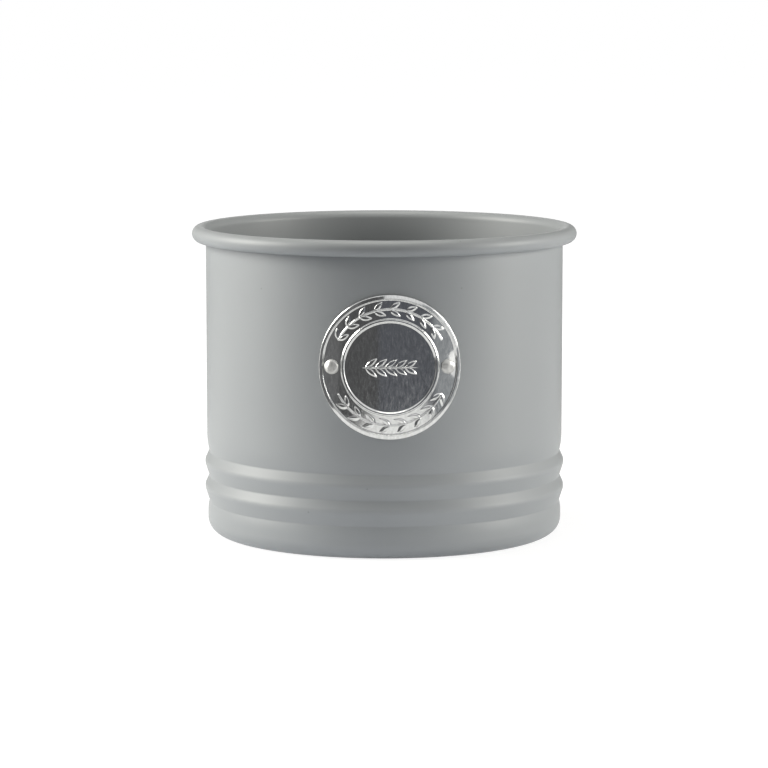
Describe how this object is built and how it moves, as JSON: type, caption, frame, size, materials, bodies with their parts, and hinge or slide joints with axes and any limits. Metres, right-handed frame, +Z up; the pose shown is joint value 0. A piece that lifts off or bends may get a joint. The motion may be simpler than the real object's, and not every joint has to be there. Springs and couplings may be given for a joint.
{
  "type": "indoor herb planter",
  "caption": "Round painted steel pot with a rolled rim, a straight wall, rolled beads above a rounded foot and a riveted round metal badge, for one herb plant.",
  "frame": {"origin": "on the pot's axis, on the plane that its foot ring stands on", "axes": "+Z up along the pot's axis, -Y out through the middle of the badge, +X to the right when facing the badge"},
  "size_m": [0.14, 0.14, 0.1125],
  "materials": {
    "grey_powder_coat": "satin grey powder coat on steel sheet",
    "bright_steel": "stamped and polished",
    "dull_aluminium": "dull, as headed"
  },
  "bodies": {
    "root": {"pot_shell": "grey_powder_coat", "badge_plate": "bright_steel", "badge_rivet_left": "dull_aluminium", "badge_rivet_right": "dull_aluminium"}
  },
  "joints": []
}
